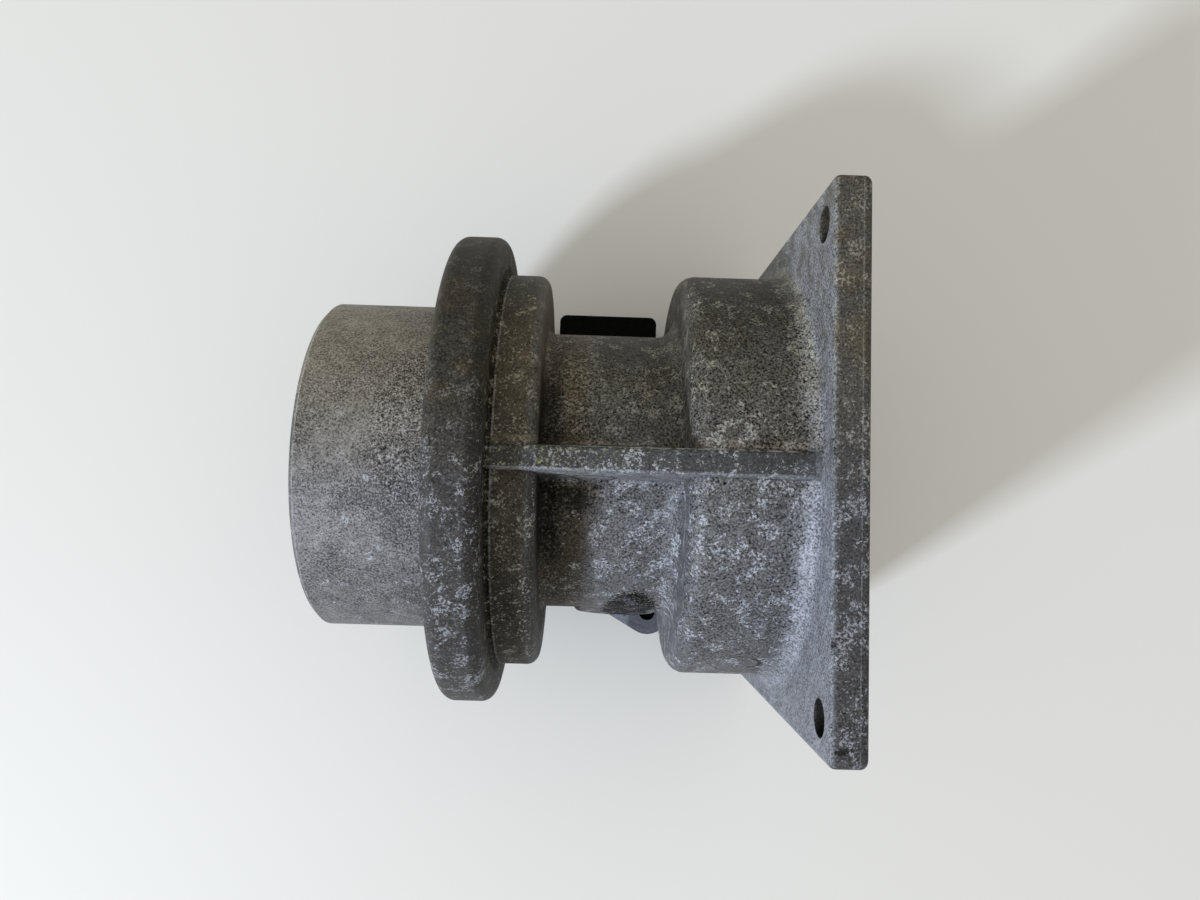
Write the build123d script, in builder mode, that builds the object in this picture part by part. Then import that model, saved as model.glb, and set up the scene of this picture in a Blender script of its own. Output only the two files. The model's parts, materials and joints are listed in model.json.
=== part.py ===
"""Hot-wire mass airflow sensor: a cast flow body with its screen, sensor probe and electronics module.

The bore runs along X. Air enters at the square flange, whose outer face is x = 0, and leaves by the
hose spigot at -X. The stiffening rib is on +Z and the electronics module hangs under the neck, on -Z,
with its connector facing +Y. All sizes are in millimetres.
"""
from math import cos, radians, sin
import os

from build123d import *

# Flow body, outside
flange_side = 100.0
flange_thickness = 6.5
flange_corner_r = 2.0
flange_edge_r = 1.2
bolt_inset = 7.0
bolt_hole_r = 3.25
inlet_body_r = 43.2
inlet_body_length = 22.6
neck_r = 30.0
neck_length = 27.2
step_r = 42.3
step_length = 8.9
ring_r = 50.0
ring_length = 10.2
spigot_r = 35.0
spigot_length = 26.5

# Roundings of the outside
flange_root_r = 3.5
body_edge_r = 3.5
neck_root_r = 4.0
neck_step_root_r = 1.5
step_edge_r = 2.5
ring_root_r = 0.6
ring_edge_r = 2.5
spigot_rim_chamfer = 1.0

# Flow body, inside
inlet_wall = 4.7
neck_wall = 3.0
spigot_wall = 3.0
bell_lead = 3.0
throat_lead_in = 2.0
throat_lead_out = 3.0
spigot_bore_length = 8.0

# Stiffening rib along the top
rib_top = 44.0
rib_width_ring = 4.2
rib_width_flange = 5.0
rib_draft = 0.7
rib_edge_r = 0.9
rib_root_r = 1.4
rib_root_steps = 3

# Module pad under the neck
pad_height = 6.0
pad_half_width = 34.1
pad_inset = 7.0
pad_overrun = 1.0
pad_shoulder_drop = 20.0
pad_flank_bite = 1.5
pad_shoulder_r = 3.0
pad_end_bow = 1.4
pad_step_corner_r = 2.2
pad_body_corner_r = 5.0

# Screen in the inlet
screen_ledge = 2.0
screen_seat_depth = 5.0
screen_rim_depth = 2.8
screen_rim_width = 2.6
screen_rim_skin = 0.7
screen_thickness = 0.7
screen_pitch = 6.5
screen_wire = 0.8
snap_ring_thickness = 1.2
snap_ring_inward = 1.2
snap_ring_outward = 0.7
snap_ring_gap_angle = 30.0

# Electronics module
module_width = 26.0
module_near_y = -31.0
module_far_y = 43.6
module_depth = 12.8
module_corner_r = 1.9
module_edge_r = 0.6
chamber_wall = 2.6
chamber_floor = 2.2
cover_thickness = 1.6
cover_lip = 1.6
sealant_width = 0.8
cover_panel_border = 3.0
cover_panel_depth = 0.5
back_wall = 2.2
socket_depth = 12.8
socket_wall = 2.2
socket_corner_r = 1.5
latch_window_width = 8.0
latch_window_length = 3.0
latch_window_setback = 3.0

# Screw lugs of the module
lug_thickness = 4.0
near_lug_inset = 0.95
near_lug_reach = 3.65
near_lug_r = 5.4
far_lug_y = 27.0
far_lug_reach = 3.65
far_lug_r = 4.4
ear_r = 5.6
ear_thickness = 4.5
ear_web_reach = 12.4
ear_web_r = 0.8
far_boss_r = 4.6
bush_wall = 0.85
screw_r = 2.0
screw_reach = 3.6
tapped_depth = 8.5
screw_head_r = 3.5
screw_head_height = 2.6
screw_head_edge_r = 0.8
drive_slot_width = 1.0
drive_slot_depth = 1.2
washer_thickness = 0.9
washer_width = 1.5
washer_split = 0.8

# Sensor probe
probe_r = 6.0
probe_reach = 13.2
probe_tip_r = 1.2
probe_collar_width = 0.8
probe_collar_thickness = 1.0
channel_r = 3.2
channel_depth = 4.7
o_ring_setback = 2.5
o_ring_groove_width = 1.6
o_ring_groove_depth = 1.0
post_r = 0.4
post_half_span = 2.0
post_spacing = 2.7
post_overhang = 0.5
element_r = 0.45

# Circuit and terminals
base_plate_thickness = 1.2
board_thickness = 0.8
board_margin = 0.6
post_tail = 1.0
transistor_size = (10.0, 9.0, 3.4)
transistor_tab = 3.0
transistor_tab_thickness = 1.2
transistor_y = 14.5
chip_size = (7.5, 10.0, 2.0)
chip_y = -15.0
chip_leg_reach = 1.4
chip_leg_width = 0.6
chip_leg_thickness = 0.4
chip_leg_pitch = 2.0
chip_leg_rows = 4
capacitor_size = (2.0, 1.4, 1.2)
capacitor_pitch = 4.0
capacitor_count = 4
capacitor_y = 5.6
terminal_count = 6
terminal_pitch = 3.4
terminal_width = 1.5
terminal_thickness = 0.8
terminal_reach = 8.2
terminal_tail = 3.2

# Clearances
slip_fit = 0.1
snug_fit = 0.05
thread_fit = 0.05
pocket_fit = 1.0
lug_relief = 0.4
cut_past = 1.0

# Stations along the bore
x_flange_back = -flange_thickness
x_body_end = x_flange_back - inlet_body_length
x_neck_end = x_body_end - neck_length
x_step_end = x_neck_end - step_length
x_ring_end = x_step_end - ring_length
x_spigot_end = x_ring_end - spigot_length

# Bolt pattern and bore radii
bolt_spacing = flange_side - 2 * bolt_inset
inlet_bore_r = inlet_body_r - inlet_wall
throat_r = neck_r - neck_wall
spigot_bore_r = spigot_r - spigot_wall
screen_seat_r = inlet_bore_r + screen_ledge

# Levels under the neck
pad_z = -(neck_r + pad_height)
floor_z = pad_z - chamber_floor
plate_z = floor_z - base_plate_thickness
board_z = plate_z - board_thickness
case_bottom_z = pad_z - module_depth
lip_z = case_bottom_z + cover_thickness
lug_z = pad_z - lug_thickness
socket_top_z = pad_z - socket_wall
socket_bottom_z = case_bottom_z + socket_wall
terminal_z = (socket_top_z + socket_bottom_z) / 2

# Places in plan
module_x = (x_body_end + x_neck_end) / 2
module_left = module_x - module_width / 2
module_right = module_x + module_width / 2
chamber_near_y = module_near_y + chamber_wall
socket_back_y = module_far_y - socket_depth
chamber_far_y = socket_back_y - back_wall
chamber_x = module_width - 2 * chamber_wall
chamber_y = chamber_far_y - chamber_near_y
chamber_centre = (module_x, (chamber_near_y + chamber_far_y) / 2)
pad_left = x_neck_end + pad_inset
pad_right = x_body_end + pad_overrun
probe_x = (pad_left + x_body_end) / 2
near_lug = (module_right - near_lug_inset, module_near_y - near_lug_reach)
far_lug = (module_left - far_lug_reach, far_lug_y)
lugs = [near_lug, far_lug]
probe_tip_z = probe_reach - throat_r
channel_z = probe_tip_z - channel_depth


def lug_outline(centre, radius, root, root_size):
    """A screw lug in plan: the hull of its round end and a patch inside the wall that carries it."""
    with BuildSketch() as outline:
        with Locations(centre):
            Circle(radius)
        with Locations(root):
            Rectangle(*root_size)
        make_hull()
    return outline.sketch


near_lug_root = (module_x, chamber_near_y - chamber_wall / 2)
far_lug_root = (module_left + chamber_wall / 2, far_lug_y)
near_lug_outline = lug_outline(near_lug, near_lug_r, near_lug_root, (module_width / 3, chamber_wall / 2))
far_lug_outline = lug_outline(far_lug, far_lug_r, far_lug_root, (chamber_wall / 2, 2 * far_lug_r))

# The pad's own form: flanks that lean in and run out on the neck, with bowed ends in plan
flank_top_y = neck_r - pad_flank_bite

with BuildPart() as pad_form:
    with BuildSketch(Plane.YZ.offset(pad_left)):
        with BuildLine():
            FilletPolyline(
                (-pad_half_width, pad_z),
                (-pad_half_width, -pad_shoulder_drop),
                (-flank_top_y, 0),
                (flank_top_y, 0),
                (pad_half_width, -pad_shoulder_drop),
                (pad_half_width, pad_z),
                radius=[0, pad_shoulder_r, 0, 0, pad_shoulder_r, 0],
                close=True,
            )
        make_face()
    extrude(amount=pad_right - pad_left)
    with BuildSketch(Plane.XY.offset(pad_z)) as pad_plan:
        pad_end_y = pad_half_width - pad_end_bow
        pad_middle = (pad_left + pad_right) / 2
        with BuildLine():
            Line((pad_left, -pad_end_y), (pad_left, pad_end_y))
            ThreePointArc((pad_left, pad_end_y), (pad_middle, pad_half_width), (pad_right, pad_end_y))
            Line((pad_right, pad_end_y), (pad_right, -pad_end_y))
            ThreePointArc((pad_right, -pad_end_y), (pad_middle, -pad_half_width), (pad_left, -pad_end_y))
        make_face()
        fillet(pad_plan.vertices().group_by(Axis.X)[-1], radius=pad_body_corner_r)
    extrude(amount=neck_r - pad_z, mode=Mode.INTERSECT)
    fillet(pad_form.edges().filter_by(Axis.Z).group_by(Axis.X)[0], radius=pad_step_corner_r)

# The rib's own form: drafted flanks, wider at the flange, with rounded top edges and a hollow root
rib_levels = [(rib_top, 0)]
for root_step in range(rib_root_steps + 1):
    root_angle = radians(90 * root_step / rib_root_steps)
    root_z = neck_r + rib_root_r * (1 - sin(root_angle))
    rib_levels.append((root_z, rib_draft + rib_root_r * (1 - cos(root_angle))))

with BuildPart() as rib_form:
    for rib_z, spread in rib_levels:
        with BuildSketch(Plane.XY.offset(rib_z)):
            with BuildLine():
                Polyline(
                    (x_step_end - cut_past, -rib_width_ring / 2 - spread),
                    (x_step_end - cut_past, rib_width_ring / 2 + spread),
                    (x_flange_back + cut_past, rib_width_flange / 2 + spread),
                    (x_flange_back + cut_past, -rib_width_flange / 2 - spread),
                    close=True,
                )
            make_face()
    loft(ruled=True)
    rib_foot = rib_form.faces().sort_by(Axis.Z)[0]
    extrude(rib_foot, amount=neck_wall / 2)
    fillet(rib_form.faces().sort_by(Axis.Z)[-1].edges().filter_by(Axis.Y, reverse=True), radius=rib_edge_r)

with BuildSketch() as lug_reliefs:
    add(near_lug_outline)
    add(far_lug_outline)
    offset(amount=lug_relief)

# Flow body, one casting
with BuildPart() as housing:
    with BuildSketch(Plane.YZ):
        RectangleRounded(flange_side, flange_side, flange_corner_r)
    extrude(amount=-flange_thickness)
    fillet(housing.edges().filter_by(Axis.X, reverse=True), radius=flange_edge_r)

    # Turned outside, from the flange to the spigot rim
    flange_hub_r = inlet_body_r + flange_root_r + flange_edge_r
    outside = [
        ((0, 0), 0),
        ((0, flange_hub_r), 0),
        ((x_flange_back, flange_hub_r), 0),
        ((x_flange_back, inlet_body_r), flange_root_r),
        ((x_body_end, inlet_body_r), body_edge_r),
        ((x_body_end, neck_r), neck_root_r),
        ((x_neck_end, neck_r), neck_step_root_r),
        ((x_neck_end, step_r), step_edge_r),
        ((x_step_end, step_r), ring_root_r),
        ((x_step_end, ring_r), ring_edge_r),
        ((x_ring_end, ring_r), ring_edge_r),
        ((x_ring_end, spigot_r), 0),
        ((x_spigot_end + spigot_rim_chamfer, spigot_r), 0),
        ((x_spigot_end, spigot_r - spigot_rim_chamfer), 0),
        ((x_spigot_end, 0), 0),
    ]
    with BuildSketch(Plane.XZ):
        with BuildLine():
            FilletPolyline(*[point for point, _ in outside], radius=[r for _, r in outside], close=True)
        make_face()
    revolve(axis=Axis.X)

    add(pad_form.part)
    add(rib_form.part)

    # Ear of the near screw and its web, and the boss of the far screw
    with BuildSketch(Plane.XY.offset(pad_z)):
        with Locations(near_lug):
            Circle(ear_r)
        with Locations((near_lug[0] - ear_web_reach, near_lug[1] + 2 * ear_web_r)):
            Circle(ear_web_r)
        make_hull()
    extrude(amount=ear_thickness)
    with BuildSketch(Plane.XY.offset(pad_z)):
        with Locations(far_lug):
            Circle(far_boss_r)
    extrude(amount=step_r + pad_z + ear_thickness)

    # Room for the module below the pad
    with BuildSketch(Plane.XY.offset(pad_z)):
        with Locations((module_x, 0)):
            Rectangle(module_width + 2 * pocket_fit, 2 * ring_r)
        with Locations(*lugs):
            Circle(far_boss_r + lug_relief)
        add(lug_reliefs.sketch)
    extrude(amount=-ring_r, mode=Mode.SUBTRACT)

    # Bore: screen seat, bell, throat, diffuser and spigot bore
    seat_x = -screen_seat_depth
    bell_start = seat_x - bell_lead
    throat_start = x_body_end - throat_lead_in
    throat_end = x_neck_end + throat_lead_out
    spigot_bore_x = x_spigot_end + spigot_bore_length
    bell_middle = ((bell_start + throat_start) / 2, (inlet_bore_r + throat_r) / 2)
    with BuildSketch(Plane.XZ):
        with BuildLine():
            Polyline(
                (x_spigot_end - cut_past, 0),
                (cut_past, 0),
                (cut_past, screen_seat_r),
                (seat_x, screen_seat_r),
                (seat_x, inlet_bore_r),
                (bell_start, inlet_bore_r),
            )
            TangentArc((bell_start, inlet_bore_r), bell_middle, tangent=(-1, 0))
            TangentArc((throat_start, throat_r), bell_middle, tangent=(1, 0))
            Polyline(
                (throat_start, throat_r),
                (throat_end, throat_r),
                (spigot_bore_x, spigot_bore_r),
                (x_spigot_end - cut_past, spigot_bore_r),
                (x_spigot_end - cut_past, 0),
            )
        make_face()
    revolve(axis=Axis.X, mode=Mode.SUBTRACT)

    # Groove for the screen's snap ring
    snap_ring_back = seat_x + screen_rim_depth
    snap_groove_back = snap_ring_back - snug_fit
    snap_groove_front = snap_ring_back + snap_ring_thickness + snug_fit
    with BuildSketch(Plane.YZ.offset(snap_groove_back)):
        Circle(screen_seat_r + snap_ring_outward + slip_fit)
    extrude(amount=snap_groove_front - snap_groove_back, mode=Mode.SUBTRACT)

    # Bolt holes of the flange
    with BuildSketch(Plane.YZ):
        with GridLocations(bolt_spacing, bolt_spacing, 2, 2):
            Circle(bolt_hole_r)
    extrude(amount=-flange_thickness, mode=Mode.SUBTRACT)

    # Probe hole through the pad and tapped holes for the module's screws
    with BuildSketch(Plane.XY.offset(pad_z)):
        with Locations((probe_x, 0)):
            Circle(probe_r + slip_fit)
    extrude(amount=-pad_z, mode=Mode.SUBTRACT)
    with BuildSketch(Plane.XY.offset(pad_z)):
        with Locations(*lugs):
            Circle(screw_r + thread_fit)
    extrude(amount=tapped_depth, mode=Mode.SUBTRACT)

# Screen: a ridged mesh disc, held in a folded rim
rim_outer_r = screen_seat_r - slip_fit
rim_inner_r = rim_outer_r - screen_rim_width
screen_r = rim_outer_r - screen_rim_skin - snug_fit
screen_back = seat_x + (screen_rim_depth - screen_thickness) / 2
screen_open_r = rim_inner_r - screen_wire

with BuildPart() as screen_rim:
    with BuildSketch(Plane.YZ.offset(seat_x)):
        Circle(rim_outer_r)
        Circle(rim_inner_r, mode=Mode.SUBTRACT)
    extrude(amount=screen_rim_depth)
    with BuildSketch(Plane.YZ.offset(screen_back - snug_fit)):
        Circle(rim_outer_r - screen_rim_skin)
    extrude(amount=screen_thickness + 2 * snug_fit, mode=Mode.SUBTRACT)

with BuildPart() as inlet_screen:
    with BuildSketch(Plane.YZ.offset(screen_back)):
        Circle(screen_r)
        screen_rows = int(2 * screen_open_r / screen_pitch) + 1
        screen_gap = screen_pitch - screen_wire
        with BuildSketch(mode=Mode.PRIVATE) as gaps:
            with GridLocations(screen_pitch, screen_pitch, screen_rows, screen_rows):
                Rectangle(screen_gap, screen_gap)
            Circle(screen_open_r, mode=Mode.INTERSECT)
        add(gaps.sketch, mode=Mode.SUBTRACT)
    extrude(amount=screen_thickness)

with BuildPart() as screen_snap_ring:
    with BuildSketch(Plane.YZ.offset(snap_ring_back)):
        Circle(screen_seat_r + snap_ring_outward)
        Circle(screen_seat_r - snap_ring_inward, mode=Mode.SUBTRACT)
        with BuildLine():
            gap_reach = 2 * screen_seat_r
            gap_arc = CenterArc((0, 0), gap_reach, 90 - snap_ring_gap_angle / 2, snap_ring_gap_angle)
            Line((0, 0), gap_arc @ 0)
            Line((0, 0), gap_arc @ 1)
        make_face(mode=Mode.SUBTRACT)
    extrude(amount=snap_ring_thickness)

# Module case: moulded tray with the connector shroud on its +Y end and two screw lugs
with BuildPart() as module_case:
    module_length = module_far_y - module_near_y
    module_centre = (module_x, (module_far_y + module_near_y) / 2)
    with BuildSketch(Plane.XY.offset(pad_z)):
        with Locations(module_centre):
            RectangleRounded(module_width, module_length, module_corner_r)
    extrude(amount=-module_depth)
    fillet(module_case.edges().filter_by(Plane.XY), radius=module_edge_r)
    with BuildSketch(Plane.XY.offset(pad_z)):
        add(near_lug_outline)
        add(far_lug_outline)
    extrude(amount=-lug_thickness)

    # Chamber and the rebate for its cover
    with BuildSketch(Plane.XY.offset(floor_z)):
        with Locations(chamber_centre):
            Rectangle(chamber_x, chamber_y)
    extrude(amount=case_bottom_z - floor_z, mode=Mode.SUBTRACT)
    with BuildSketch(Plane.XY.offset(lip_z)):
        with Locations(chamber_centre):
            Rectangle(chamber_x + 2 * cover_lip, chamber_y + 2 * cover_lip)
    extrude(amount=-cover_thickness, mode=Mode.SUBTRACT)

    # Connector socket, its latch window and the terminal slots
    socket_height = socket_top_z - socket_bottom_z
    with BuildSketch(Plane.XZ.offset(-module_far_y)):
        with Locations((module_x, terminal_z)):
            RectangleRounded(module_width - 2 * socket_wall, socket_height, socket_corner_r)
    extrude(amount=socket_depth, mode=Mode.SUBTRACT)
    with BuildSketch(Plane.XY.offset(terminal_z)):
        with Locations((module_x, module_far_y - latch_window_setback - latch_window_length / 2)):
            Rectangle(latch_window_width, latch_window_length)
    extrude(amount=-module_depth, mode=Mode.SUBTRACT)
    with BuildSketch(Plane.XZ.offset(-socket_back_y)):
        with Locations((module_x, terminal_z)):
            with GridLocations(terminal_pitch, 1, terminal_count, 1):
                Rectangle(terminal_width + 2 * snug_fit, terminal_thickness + 2 * snug_fit)
    extrude(amount=back_wall, mode=Mode.SUBTRACT)

    # Holes for the probe and for the bushes, and room for the near screw's head
    with BuildSketch(Plane.XY.offset(pad_z)):
        with Locations((probe_x, 0)):
            Circle(probe_r + slip_fit)
    extrude(amount=-chamber_floor, mode=Mode.SUBTRACT)
    bush_bore_r = screw_r + slip_fit
    bush_outer_r = bush_bore_r + bush_wall
    with BuildSketch(Plane.XY.offset(pad_z)):
        with Locations(*lugs):
            Circle(bush_outer_r + snug_fit)
    extrude(amount=-lug_thickness, mode=Mode.SUBTRACT)
    with BuildSketch(Plane.XY.offset(lug_z)):
        with Locations(*lugs):
            Circle(screw_head_r + slip_fit)
    extrude(amount=-module_depth, mode=Mode.SUBTRACT)

with BuildPart() as lug_bushes:
    with BuildSketch(Plane.XY.offset(pad_z)):
        with Locations(*lugs):
            Circle(bush_outer_r)
        with Locations(*lugs):
            Circle(bush_bore_r, mode=Mode.SUBTRACT)
    extrude(amount=-lug_thickness)

with BuildPart() as lock_washers:
    with BuildSketch(Plane.XY.offset(lug_z)):
        with Locations(*lugs):
            Circle(bush_bore_r + washer_width)
        with Locations(*lugs):
            Circle(bush_bore_r, mode=Mode.SUBTRACT)
        with Locations(*[(x + bush_bore_r + washer_width / 2, y) for x, y in lugs]):
            Rectangle(2 * washer_width, washer_split, mode=Mode.SUBTRACT)
    extrude(amount=-washer_thickness)

with BuildPart() as module_screws:
    head_z = lug_z - washer_thickness
    with BuildSketch(Plane.XY.offset(head_z)):
        with Locations(*lugs):
            Circle(screw_head_r)
    extrude(amount=-screw_head_height)
    fillet(module_screws.edges().group_by(Axis.Z)[0], radius=screw_head_edge_r)
    with BuildSketch(Plane.XY.offset(head_z)):
        with Locations(*lugs):
            Circle(screw_r)
    extrude(amount=pad_z - head_z + screw_reach)
    with BuildSketch(Plane.XY.offset(head_z - screw_head_height)):
        with Locations(*lugs):
            Rectangle(screw_head_r, drive_slot_width)
        with Locations(*lugs):
            Rectangle(drive_slot_width, screw_head_r)
    extrude(amount=drive_slot_depth, mode=Mode.SUBTRACT)

# Cover of the module and the sealant bead around it
cover_x = chamber_x + 2 * (cover_lip - sealant_width)
cover_y = chamber_y + 2 * (cover_lip - sealant_width)

with BuildPart() as module_cover:
    with BuildSketch(Plane.XY.offset(lip_z)):
        with Locations(chamber_centre):
            Rectangle(cover_x, cover_y)
    extrude(amount=-cover_thickness)
    with BuildSketch(Plane.XY.offset(case_bottom_z)):
        with Locations(chamber_centre):
            Rectangle(cover_x - 2 * cover_panel_border, cover_y - 2 * cover_panel_border)
    extrude(amount=cover_panel_depth, mode=Mode.SUBTRACT)

with BuildPart() as cover_sealant:
    with BuildSketch(Plane.XY.offset(lip_z)):
        with Locations(chamber_centre):
            Rectangle(chamber_x + 2 * cover_lip, chamber_y + 2 * cover_lip)
            Rectangle(cover_x, cover_y, mode=Mode.SUBTRACT)
    extrude(amount=-cover_thickness)

# Sensor probe: a moulded column across the throat with a sampling channel along the flow
o_ring_z = pad_z + o_ring_setback
post_xs = [probe_x - post_spacing / 2, probe_x + post_spacing / 2]
post_places = [(x, side * post_half_span) for x in post_xs for side in (-1, 1)]

with BuildPart() as sensor_holder:
    with BuildSketch(Plane.XY.offset(floor_z)):
        with Locations((probe_x, 0)):
            Circle(probe_r)
    extrude(amount=probe_tip_z - floor_z)
    fillet(sensor_holder.edges().group_by(Axis.Z)[-1], radius=probe_tip_r)
    with BuildSketch(Plane.XY.offset(floor_z)):
        with Locations((probe_x, 0)):
            Circle(probe_r + probe_collar_width)
    extrude(amount=-probe_collar_thickness)
    with BuildSketch(Plane.XY.offset(o_ring_z - o_ring_groove_width / 2)):
        with Locations((probe_x, 0)):
            Circle(probe_r + slip_fit)
            Circle(probe_r - o_ring_groove_depth, mode=Mode.SUBTRACT)
    extrude(amount=o_ring_groove_width, mode=Mode.SUBTRACT)
    with BuildSketch(Plane.YZ.offset(probe_x - 2 * probe_r)):
        with Locations((0, channel_z)):
            Circle(channel_r)
    extrude(amount=4 * probe_r, mode=Mode.SUBTRACT)
    with BuildSketch(Plane.XY.offset(channel_z)):
        with Locations(*post_places):
            Circle(post_r + snug_fit)
    extrude(amount=plate_z - channel_z, mode=Mode.SUBTRACT)

with BuildPart() as holder_o_ring:
    o_ring_outer_r = probe_r + slip_fit
    o_ring_inner_r = probe_r - o_ring_groove_depth
    o_ring_section_r = (o_ring_outer_r - o_ring_inner_r) / 2 - snug_fit
    with BuildSketch(Plane.XZ):
        with Locations((probe_x + (o_ring_outer_r + o_ring_inner_r) / 2, o_ring_z)):
            Circle(o_ring_section_r)
    revolve(axis=Axis((probe_x, 0, 0), (0, 0, 1)))

# Circuit carrier plate and board
plate_x = chamber_x - 2 * slip_fit
plate_y = chamber_y - 2 * slip_fit

with BuildPart() as module_base_plate:
    with BuildSketch(Plane.XY.offset(floor_z)):
        with Locations(chamber_centre):
            Rectangle(plate_x, plate_y)
        with Locations((probe_x, 0)):
            Circle(probe_r + probe_collar_width + slip_fit, mode=Mode.SUBTRACT)
    extrude(amount=-base_plate_thickness)

with BuildPart() as circuit_board:
    with BuildSketch(Plane.XY.offset(plate_z)):
        with Locations(chamber_centre):
            Rectangle(plate_x - 2 * board_margin, plate_y - 2 * board_margin)
        with Locations(*post_places):
            Circle(post_r + slip_fit, mode=Mode.SUBTRACT)
    extrude(amount=-board_thickness)

with BuildPart() as power_transistor:
    transistor_x, transistor_length, transistor_height = transistor_size
    with BuildSketch(Plane.XY.offset(board_z)):
        with Locations((module_x, transistor_y)):
            Rectangle(transistor_x, transistor_length)
    extrude(amount=-transistor_height)
    with BuildSketch(Plane.XY.offset(board_z)):
        with Locations((module_x, transistor_y - (transistor_length + transistor_tab) / 2)):
            Rectangle(transistor_x, transistor_tab)
    extrude(amount=-transistor_tab_thickness)

with BuildPart() as control_chip:
    chip_x, chip_length, chip_height = chip_size
    with BuildSketch(Plane.XY.offset(board_z - chip_leg_thickness)):
        with Locations((module_x, chip_y)):
            Rectangle(chip_x, chip_length)
    extrude(amount=-chip_height)
    with BuildSketch(Plane.XY.offset(board_z)):
        with Locations((module_x, chip_y)):
            with GridLocations(1, chip_leg_pitch, 1, chip_leg_rows):
                Rectangle(chip_x + 2 * chip_leg_reach, chip_leg_width)
    extrude(amount=-2 * chip_leg_thickness)

with BuildPart() as chip_capacitors:
    capacitor_x, capacitor_length, capacitor_height = capacitor_size
    with BuildSketch(Plane.XY.offset(board_z)):
        with Locations((module_x, capacitor_y)):
            with GridLocations(capacitor_pitch, 1, capacitor_count, 1):
                Rectangle(capacitor_x, capacitor_length)
    extrude(amount=-capacitor_height)

pieces = {
    "housing": housing,
    "inlet_screen": inlet_screen,
    "screen_rim": screen_rim,
    "screen_snap_ring": screen_snap_ring,
    "module_case": module_case,
    "lug_bushes": lug_bushes,
    "lock_washers": lock_washers,
    "module_screws": module_screws,
    "module_cover": module_cover,
    "cover_sealant": cover_sealant,
    "sensor_holder": sensor_holder,
    "holder_o_ring": holder_o_ring,
    "module_base_plate": module_base_plate,
    "circuit_board": circuit_board,
    "power_transistor": power_transistor,
    "control_chip": control_chip,
    "chip_capacitors": chip_capacitors,
}

# Posts that carry the two elements, standing in the channel and soldered at the board
for number, at in enumerate(post_places, start=1):
    with BuildPart() as post:
        with BuildSketch(Plane.XY.offset(board_z - post_tail)):
            with Locations(at):
                Circle(post_r)
        extrude(amount=channel_z + post_overhang - board_z + post_tail)
    pieces[f"sensor_post_{number}"] = post

# Heated and reference elements, wound rods between their posts
element_length = 2 * (post_half_span - post_r)

for name, x in zip(["hot_element", "cold_element"], post_xs):
    with BuildPart() as element:
        with BuildSketch(Plane.XZ.offset(element_length / 2)):
            with Locations((x, channel_z)):
                Circle(element_r)
        extrude(amount=-element_length)
    pieces[name] = element

# Connector terminals: blades through the back wall, with feet soldered on the board
terminal_tip_y = socket_back_y + terminal_reach
terminal_foot_y = chamber_far_y - terminal_tail

for number in range(1, terminal_count + 1):
    terminal_x = module_x + (number - (terminal_count + 1) / 2) * terminal_pitch
    with BuildPart() as terminal:
        with BuildSketch(Plane.YZ.offset(terminal_x - terminal_width / 2)):
            with BuildLine():
                Polyline(
                    (terminal_tip_y, terminal_z + terminal_thickness / 2),
                    (terminal_foot_y + terminal_thickness, terminal_z + terminal_thickness / 2),
                    (terminal_foot_y + terminal_thickness, board_z),
                    (terminal_foot_y, board_z),
                    (terminal_foot_y, terminal_z - terminal_thickness / 2),
                    (terminal_tip_y, terminal_z - terminal_thickness / 2),
                    close=True,
                )
            make_face()
        extrude(amount=terminal_width)
    pieces[f"terminal_{number}"] = terminal

os.makedirs("parts", exist_ok=True)
for name, piece in pieces.items():
    piece.part.label = name
    export_step(piece.part, f"parts/{name}.step")
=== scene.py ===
"""Looks of the mass airflow sensor: a weathered casting, its woven inlet screen and the black module."""
import json
import math
from functools import reduce

import bmesh
import bpy
from mathutils import Matrix, Vector


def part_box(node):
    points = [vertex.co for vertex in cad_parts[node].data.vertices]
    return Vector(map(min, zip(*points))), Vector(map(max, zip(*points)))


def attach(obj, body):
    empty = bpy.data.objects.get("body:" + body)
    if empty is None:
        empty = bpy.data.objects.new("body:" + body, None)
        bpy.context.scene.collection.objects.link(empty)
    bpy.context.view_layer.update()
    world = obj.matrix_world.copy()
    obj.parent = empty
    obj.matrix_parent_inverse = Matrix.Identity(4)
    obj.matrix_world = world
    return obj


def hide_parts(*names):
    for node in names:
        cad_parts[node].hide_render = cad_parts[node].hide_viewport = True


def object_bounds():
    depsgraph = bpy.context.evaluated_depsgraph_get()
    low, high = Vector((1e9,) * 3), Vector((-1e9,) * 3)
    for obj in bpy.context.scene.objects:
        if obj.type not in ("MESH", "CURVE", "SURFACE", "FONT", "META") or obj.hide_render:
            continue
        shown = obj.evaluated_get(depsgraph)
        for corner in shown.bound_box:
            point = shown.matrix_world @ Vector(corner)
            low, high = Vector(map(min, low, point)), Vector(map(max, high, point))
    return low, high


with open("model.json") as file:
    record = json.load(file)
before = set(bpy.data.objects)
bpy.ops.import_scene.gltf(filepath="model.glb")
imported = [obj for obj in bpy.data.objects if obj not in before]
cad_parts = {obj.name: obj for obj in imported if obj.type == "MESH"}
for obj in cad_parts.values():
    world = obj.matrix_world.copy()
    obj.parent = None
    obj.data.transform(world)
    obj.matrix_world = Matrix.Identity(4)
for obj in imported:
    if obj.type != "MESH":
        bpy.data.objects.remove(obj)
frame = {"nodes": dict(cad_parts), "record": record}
cad_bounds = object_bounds()
nodes = frame["nodes"]

MM = 0.001
# Most of a noise's values fall between these two
NOISE_LOW = 0.3
NOISE_HIGH = 0.7


def colour(red, green, blue):
    """A screen colour of 0 to 255 a channel, as the linear colour that a shader takes."""
    return tuple(linear(channel / 255) for channel in (red, green, blue)) + (1.0,)


def linear(value):
    """The linear value of a screen value of 0 to 1."""
    if value <= 0.04045:
        return value / 12.92
    return ((value + 0.055) / 1.055) ** 2.4


# ---------------------------------------------------------------- node graphs


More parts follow.
